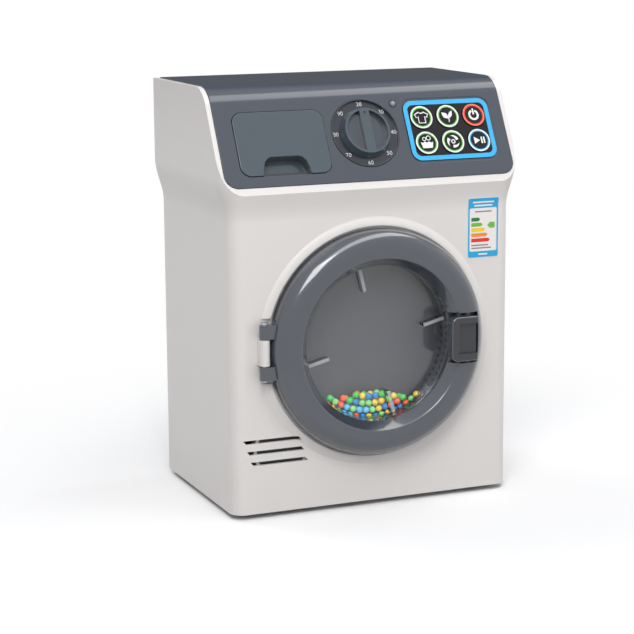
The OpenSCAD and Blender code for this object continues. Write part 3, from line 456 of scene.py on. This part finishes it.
def smooth(piece):
    """Shades a piece smooth across all but its sharp edges."""
    select_only(piece)
    bpy.ops.object.shade_smooth_by_angle(angle=math.radians(35))


def on_panel(x, s, h=0.0):
    """Frame on the control panel: X across, Y up its slope, Z out of its face."""
    sin_t, cos_t = math.sin(PANEL_TILT), math.cos(PANEL_TILT)
    place = Vector((x, PANEL_FOOT[1] + s * sin_t - h * cos_t, PANEL_FOOT[2] + s * cos_t + h * sin_t)) * MM
    turn = Matrix(((1, 0, 0), (0, sin_t, -cos_t), (0, cos_t, sin_t)))
    return Matrix.Translation(place) @ turn.to_4x4()


def on_face(x, z, proud=0.0):
    """Frame on the cabinet's front face: X across, Y up, Z out of it."""
    turn = Matrix(((1, 0, 0), (0, 0, -1), (0, 1, 0)))
    return Matrix.Translation(Vector((x, FACE_Y - proud, z)) * MM) @ turn.to_4x4()


def circle(r, x=0.0, y=0.0, n=48):
    """Outline of a circle."""
    turn = [2 * math.pi * i / n for i in range(n)]
    return [(x + r * math.cos(a), y + r * math.sin(a)) for a in turn]


def rounded_box(w, h, r, x=0.0, y=0.0, n=8):
    """Outline of a rectangle with round corners."""
    points = []
    for cx, cy, start in ((1, 1, 0), (-1, 1, 90), (-1, -1, 180), (1, -1, 270)):
        for i in range(n + 1):
            a = math.radians(start + 90 * i / n)
            points.append((x + cx * (w / 2 - r) + r * math.cos(a), y + cy * (h / 2 - r) + r * math.sin(a)))
    return points


def polar(r, degrees):
    """A point at a distance and an angle from the middle."""
    a = math.radians(degrees)
    return (r * math.cos(a), r * math.sin(a))


def arc(r, start, end, n=20):
    """Points along an arc round the middle, from one angle to another."""
    return [polar(r, start + (end - start) * i / n) for i in range(n + 1)]


def stroke(points, width, closed=False):
    """Outlines of a drawn line of a given width; a closed line gives an outer and an inner outline."""
    count = len(points)
    sides = [[], []]
    for i, (x, y) in enumerate(points):
        before = points[i - 1] if closed or i else points[i]
        after = points[(i + 1) % count] if closed or i < count - 1 else points[i]
        d = Vector((after[0] - before[0], after[1] - before[1])).normalized()
        for side, sign in zip(sides, (1, -1)):
            side.append((x - d.y * sign * width / 2, y + d.x * sign * width / 2))
    return sides if closed else [sides[0] + sides[1][::-1]]


def flat_print(name, outlines, place, thickness, material, body):
    """A thin printed shape from its outlines in millimetres; an outline inside another is a hole."""
    curve = bpy.data.curves.new(name, "CURVE")
    curve.dimensions = "2D"
    curve.fill_mode = "BOTH"
    curve.extrude = thickness / 2
    for outline in outlines:
        spline = curve.splines.new("POLY")
        spline.points.add(len(outline) - 1)
        spline.use_cyclic_u = True
        for point, (x, y) in zip(spline.points, outline):
            point.co = (x, y, 0, 1)
    return print_mesh(name, curve, place, thickness, material, body)


def print_mesh(name, curve, place, thickness, material, body):
    """Turns a flat curve or word into a mesh piece that lies on a surface."""
    piece = bpy.data.objects.new(name, curve)
    bpy.context.scene.collection.objects.link(piece)
    select_only(piece)
    bpy.ops.object.convert(target="MESH")
    piece = bpy.context.view_layer.objects.active
    lift = Matrix.Translation((0, 0, thickness / 2))
    piece.data.transform(place @ Matrix.Scale(MM, 4) @ lift)
    piece.data.materials.clear()
    piece.data.materials.append(material)
    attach(piece, body)
    return piece


def numeral(name, value, size, place, material, body):
    """A plain number, centred on its place."""
    curve = bpy.data.curves.new(name, "FONT")
    curve.body = value
    curve.size = size
    curve.align_x = "CENTER"
    curve.align_y = "CENTER"
    curve.extrude = 0.05
    curve.resolution_u = 3
    return print_mesh(name, curve, place, 0.1, material, body)


def dress_all():
    """Dresses every node but the beads."""
    for node, (body, finish, rounding) in DRESS.items():
        dress(node, body, finish, rounding)


def gather(name, template, copies, materials):
    """One piece made of copies of a template, each with its place and the number of its material."""
    heap = bmesh.new()
    for place, number in copies:
        copy = template.data.copy()
        copy.transform(place)
        first = len(heap.faces)
        heap.from_mesh(copy)
        heap.faces.ensure_lookup_table()
        for face in heap.faces[first:]:
            face.material_index = number
        bpy.data.meshes.remove(copy)
    bpy.data.objects.remove(template)
    mesh = bpy.data.meshes.new(name)
    heap.to_mesh(mesh)
    heap.free()
    for material in materials:
        mesh.materials.append(material)
    piece = bpy.data.objects.new(name, mesh)
    bpy.context.scene.collection.objects.link(piece)
    return piece


def middles(source):
    """Middle of each loose piece of a mesh."""
    work = bmesh.new()
    work.from_mesh(source)
    bmesh.ops.remove_doubles(work, verts=work.verts, dist=MERGE)
    found, seen = [], set()
    for start in work.verts:
        if start.index in seen:
            continue
        island, queue = [], [start]
        seen.add(start.index)
        while queue:
            vertex = queue.pop()
            island.append(vertex.co.copy())
            for edge in vertex.link_edges:
                other = edge.other_vert(vertex)
                if other.index not in seen:
                    seen.add(other.index)
                    queue.append(other)
        found.append(sum(island, Vector()) / len(island))
    work.free()
    return found


def bead_heap():
    """The loose beads as spheres in six mixed colours, on the places where the model has them."""
    centres = middles(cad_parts["drum_beads"].data)
    dice = random.Random(7)
    order = [i % len(BEADS) for i in range(len(centres))]
    dice.shuffle(order)
    bpy.ops.mesh.primitive_uv_sphere_add(segments=24, ring_count=14, radius=BEAD_R * MM)
    sphere = bpy.context.active_object
    bpy.ops.object.shade_smooth()
    copies = [(Matrix.Translation(centre), colour) for centre, colour in zip(centres, order)]
    piece = gather("bead_heap", sphere, copies, BEADS)
    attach(piece, "housing")
    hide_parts("drum_beads")


def tub_dimple_shade():
    """Two rows of dark discs round the drum's side wall, painted shade where its blind dimples are."""
    radius, depth = DIMPLE
    # Each disc is a dark sheet of painted shade, not a hollow
    bpy.ops.mesh.primitive_cylinder_add(vertices=14, radius=radius * MM, depth=depth * MM)
    painted_dimple_shade = bpy.context.active_object
    copies = []
    for row, y in enumerate(TUB_WALL_Y):
        for i in range(DIMPLES):
            a = 2 * math.pi * (i + row / 2) / DIMPLES
            turn = Matrix.Rotation(-a, 4, "Y") @ Matrix.Rotation(math.pi / 2, 4, "Y")
            place = Vector((TUB_WALL_R * math.cos(a), y, DOOR_Z + TUB_WALL_R * math.sin(a))) * MM
            copies.append((Matrix.Translation(place) @ turn, 0))
    piece = gather("tub_dimple_shade", painted_dimple_shade, copies, [M["painted_dimple_shade"]])
    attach(piece, "drum")


def dial_print():
    """Numbers round the dial, and the dark ring round the lamp."""
    ring = [circle(r) for r in LAMP_RING]
    flat_print("lamp_ring", ring, on_panel(*LAMP), INK, M["black"], "housing")
    numbers = ["30", "40", "50", "60", "70", "80", "90", "20"]
    for i, value in enumerate(numbers):
        a = math.radians(45 - 45 * i)
        x, along = DIAL[0] + NUMBER_R * math.cos(a), DIAL[1] + NUMBER_R * math.sin(a)
        place = on_panel(x, along, NUMBER_HEIGHT)
        numeral(f"dial_number_{value}", value, NUMBER_SIZE, place, M["grey_ink"], "housing")


def leaf(start, end, bulge, n=10):
    """Outline of a leaf between two points."""
    (x0, y0), (x1, y1) = start, end
    d = Vector((x1 - x0, y1 - y0))
    side = Vector((-d.y, d.x)).normalized() * bulge

    def edge(steps, sign):
        """Points along one edge of the leaf."""
        waves = [(i / n, sign * math.sin(math.pi * (i / n))) for i in steps]
        return [(x0 + d.x * t + side.x * out, y0 + d.y * t + side.y * out) for t, out in waves]

    return edge(range(n + 1), 1) + edge(range(n - 1, 0, -1), -1)


def blade(start, turn=88, outer=3.9, inner=2.1, n=14):
    """Outline of one curved blade that narrows to a point."""
    steps = [i / n for i in range(n + 1)]
    rim = [polar(outer, start + turn * t) for t in steps]
    root = [polar(inner + (outer - inner) * t**1.6, start + turn * t) for t in reversed(steps[:-1])]
    return rim + root


# Outlines of the icons in millimetres, round the middle of a key
SHIRT = [(-1.5, 3.2), (-4.2, 1.8), (-3.4, -0.2), (-2.1, 0.4), (-2.1, -3.6), (2.1, -3.6),
         (2.1, 0.4), (3.4, -0.2), (4.2, 1.8), (1.5, 3.2), (0.7, 2.5), (-0.7, 2.5)]
TUB = [(-3.9, 0.5), (-3.1, -3.3), (3.1, -3.3), (3.9, 0.5), (2.6, 0.0), (1.3, 0.8), (0, 0.0),
       (-1.3, 0.8), (-2.6, 0.0)]
# Strokes and filled shapes of each key's icon
KEY_ICONS = {
    "shirt": [stroke(SHIRT, 0.62, closed=True)],
    "leaf": [[leaf((0.3, -1.6), (-3.6, 2.4), 1.5)], [leaf((0.4, -1.6), (3.1, 3.3), 1.1)],
             stroke([(0.3, -1.5), (0.5, -2.6), (0.2, -3.8)], 0.55)],
    "power": [stroke(arc(2.75, 112, 428), 1.25), stroke([(0, 0.3), (0, 4.0)], 0.95)],
    "wash": [[TUB], stroke(circle(1.05, -1.3, 2.4, 20), 0.45, closed=True),
             stroke(circle(1.3, 1.4, 2.9, 20), 0.45, closed=True)],
    "spin": [[blade(20)], [blade(140)], [blade(260)], stroke(circle(1.05, n=24), 0.6, closed=True)],
    "play": [[[(-3.2, 2.2), (-3.2, -2.2), (0.5, 0)]], [[(1.2, 2.0), (2.1, 2.0), (2.1, -2.0), (1.2, -2.0)]],
             [[(2.8, 2.0), (3.7, 2.0), (3.7, -2.0), (2.8, -2.0)]]],
}


def key_rings():
    """Blue edge of the key plate, and the rings and icon on each key."""
    edge = [rounded_box(*PLATE_SIZE, 6), rounded_box(PLATE_SIZE[0] - 5.4, PLATE_SIZE[1] - 5.4, 3.4)]
    flat_print("plate_edge", edge, on_panel(*KEYS, 0.3), 0.08, M["edge_blue"], "housing")
    inks = {"power": ("light_red_ink", "red_ink"), "play": ("white_ink", "blue_ink")}
    for name, column, row in KEY_ORDER:
        body = f"key_{name}_body"
        place = on_panel(KEYS[0] + column * KEY_PITCH[0], KEYS[1] + row * KEY_PITCH[1] / 2, KEY_TOP)
        outer_ink, inner_ink = inks.get(name, ("white_ink", "green_ink"))
        outer = [circle(KEY_R - 0.32), circle(KEY_R - 1.1)]
        inner = [circle(KEY_R - 1.1), circle(KEY_R - 1.75)]
        flat_print(f"{name}_outer_ring", outer, place, INK, M[outer_ink], body)
        flat_print(f"{name}_inner_ring", inner, place, INK, M[inner_ink], body)
        for i, shape in enumerate(KEY_ICONS[name]):
            flat_print(f"{name}_icon_{i}", shape, place, INK, M["white_ink"], body)


def lean(z):
    """How far the sticker leans out at a height, where it follows the start of the cove."""
    for (z0, out0), (z1, out1) in zip(LABEL_BEND, LABEL_BEND[1:]):
        if z <= z1:
            return out0 + (out1 - out0) * max(0.0, z - z0) / (z1 - z0)
    return LABEL_BEND[-1][1]


def bend_with_label(piece):
    """Cuts a flat print where the sticker bends, and leans it out with the sticker."""
    select_only(piece)
    bpy.ops.object.mode_set(mode="EDIT")
    for z, _ in LABEL_BEND[:-1]:
        bpy.ops.mesh.select_all(action="SELECT")
        bpy.ops.mesh.bisect(plane_co=(0, 0, z * MM), plane_no=(0, 0, 1))
    bpy.ops.object.mode_set(mode="OBJECT")
    for vertex in piece.data.vertices:
        vertex.co.y -= lean(vertex.co.z / MM) * MM


def label_print():
    """The label's blue frame, white field and coloured bars, with plain lines in place of words."""
    def patch(name, outlines, layer, material):
        """One print of the label, on its layer above the sticker."""
        place = on_face(*LABEL_MID, 0.25 + 0.03 * layer)
        bend_with_label(flat_print(name, outlines, place, 0.03, material, "housing"))

    patch("label_frame", [rounded_box(19.8, LABEL_H - 0.1, 0.9)], 0, M["label_blue"])
    patch("label_field", [rounded_box(17.7, 25.6, 0.9, 0, -1.2)], 1, M["label_white"])
    for i, material in enumerate(BARS):
        left, length, top = -7.8, 5.8 + 1.63 * i, 6.0 - 3.08 * i
        tip = [(left + length - 1.1, top), (left + length, top - 1.1), (left + length - 1.1, top - 2.2)]
        patch(f"label_bar_{i}", [[(left, top), *tip, (left, top - 2.2)]], 2, material)
    tag = [(2.7, 1.25), (4.3, 3.0), (7.6, 3.0), (7.6, -0.5), (4.3, -0.5)]
    patch("label_tag", [tag], 2, BARS[1])
    for i, (x, z, length) in enumerate([(0, 9.5, 11.0), (-2.2, -10.4, 11.0), (-1.2, -12.1, 13.0)]):
        patch(f"label_rule_{i}", [rounded_box(length, 0.75, 0.3, x, z, 3)], 2, M["label_grey"])
    for i, (z, length) in enumerate([(15.1, 14.0), (13.1, 12.0), (-15.8, 6.0)]):
        patch(f"label_head_{i}", [rounded_box(length, 0.9, 0.4, 0, z, 3)], 1, M["label_white"])


def backdrop():
    """Plain pale floor that keeps the shadow near the machine and is paper white further off."""
    white = bpy.data.materials.new("paper_floor")
    white.use_nodes = True
    tree = white.node_tree
    tree.nodes.remove(tree.nodes["Principled BSDF"])
    place = add_node(tree, "ShaderNodeTexCoord").outputs["Object"]
    reach = add_node(tree, "ShaderNodeVectorMath", {"operation": "LENGTH"}, {0: place})
    fade = {"From Min": 0.16, "From Max": 0.42, "interpolation_type": "SMOOTHSTEP"}
    far = add_node(tree, "ShaderNodeMapRange", fade, {"Value": reach.outputs["Value"]})
    near = add_node(tree, "ShaderNodeBsdfDiffuse", {"Color": (0.9, 0.9, 0.9, 1)})
    glow = add_node(tree, "ShaderNodeEmission", {"Color": (1, 1, 1, 1), "Strength": 1.0})
    shown = add_node(
        tree, "ShaderNodeMixShader",
        links={0: far.outputs["Result"], 1: near.outputs["BSDF"], 2: glow.outputs["Emission"]},
    )
    bounced = add_node(tree, "ShaderNodeBsdfDiffuse", {"Color": (0.4, 0.4, 0.4, 1)})
    mix = add_node(
        tree, "ShaderNodeMixShader",
        links={0: background_rays(tree), 1: bounced.outputs["BSDF"], 2: shown.outputs["Shader"]},
    )
    tree.links.new(mix.outputs["Shader"], tree.nodes["Material Output"].inputs["Surface"])
    bpy.ops.mesh.primitive_plane_add(size=6, location=(0, 0, -0.0002))
    floor = bpy.context.active_object
    floor.name = "floor"
    floor.data.materials.append(white)


def area_light(name, size, power, place, target):
    """A white rectangular lamp in watts, at a place in metres and turned to a target."""
    data = bpy.data.lights.new(name, "AREA")
    data.shape = "RECTANGLE"
    data.size, data.size_y = size
    data.energy = power
    light = bpy.data.objects.new(name, data)
    bpy.context.scene.collection.objects.link(light)
    light.location = place
    light.rotation_euler = (Vector(target) - Vector(place)).to_track_quat("-Z", "Y").to_euler()
    return light


def surroundings():
    """White wherever the background shows, and a soft grey light from all round."""
    world = bpy.data.worlds.new("studio")
    bpy.context.scene.world = world
    world.use_nodes = True
    tree = world.node_tree
    mix = add_node(tree, "ShaderNodeMix", {"data_type": "RGBA"}, {"Factor": background_rays(tree)})
    mix.inputs["A"].default_value = (0.375, 0.38, 0.395, 1)
    mix.inputs["B"].default_value = (1, 1, 1, 1)
    # Mirrors that look away from the front see a dark backcloth, which keeps the flat top slate
    toward = add_node(tree, "ShaderNodeTexCoord").outputs["Generated"]
    depth = add_node(tree, "ShaderNodeSeparateXYZ", links={"Vector": toward}).outputs["Y"]
    behind = add_node(tree, "ShaderNodeMapRange", {"From Min": 0.2, "From Max": 0.6}, {"Value": depth})
    mirrored = add_node(tree, "ShaderNodeLightPath").outputs["Is Glossy Ray"]
    links = {0: mirrored, 1: behind.outputs["Result"]}
    dark = add_node(tree, "ShaderNodeMath", {"operation": "MULTIPLY"}, links).outputs["Value"]
    cloth = add_node(tree, "ShaderNodeMix", {"data_type": "RGBA"}, {"Factor": dark})
    cloth.inputs["B"].default_value = (0.1, 0.105, 0.115, 1)
    tree.links.new(mix.outputs["Result"], cloth.inputs["A"])
    tree.links.new(cloth.outputs["Result"], tree.nodes["Background"].inputs["Color"])
    tree.nodes["Background"].inputs["Strength"].default_value = 1.0


def lamps():
    """The studio's four soft lamps."""
    area_light("key_light", (1.0, 1.0), 22, (-0.8, -1.4, 1.5), (0, 0, 0.12))
    fill = area_light("fill_light", (0.5, 1.4), 7, (1.4, -1.4, 0.45), (0, 0, 0.12))
    # A low lamp that opens the shade and isn't mirrored, so the top keeps its grey from behind
    fill.visible_glossy = False
    area_light("top_light", (2.6, 0.45), 12, (0.35, -0.4, 1.5), (0, 0, 0.2))
    area_light("rear_light", (1.2, 1.0), 11, (-0.8, 1.3, 1.7), (0, 0, 0.12))


def photo_camera():
    """The camera that the photograph was taken with, at its place."""
    a, e = math.radians(CAMERA_AZIMUTH), math.radians(CAMERA_ELEVATION)
    back = Vector((-math.sin(a) * math.cos(e), -math.cos(a) * math.cos(e), math.sin(e)))
    right = (-back).cross(Vector((0, 0, 1))).normalized()
    up = right.cross(-back)
    r = -math.radians(CAMERA_ROLL)
    across = right * math.cos(r) + up * math.sin(r)
    upright = up * math.cos(r) - right * math.sin(r)
    data = bpy.data.cameras.new("camera")
    data.lens = CAMERA_LENS
    data.sensor_width = 36
    data.clip_start = 0.01
    camera = bpy.data.objects.new("camera", data)
    bpy.context.scene.collection.objects.link(camera)
    turn = Matrix((across, upright, back)).transposed().to_4x4()
    camera.matrix_world = Matrix.Translation(Vector(CAMERA_PLACE) * MM) @ turn
    bpy.context.scene.camera = camera
    bpy.context.scene.view_settings.view_transform = "Standard"


bpy.ops.object.select_all(action="DESELECT")
dress_all()
bead_heap()
tub_dimple_shade()
dial_print()
key_rings()
label_print()
backdrop()
surroundings()
lamps()
photo_camera()
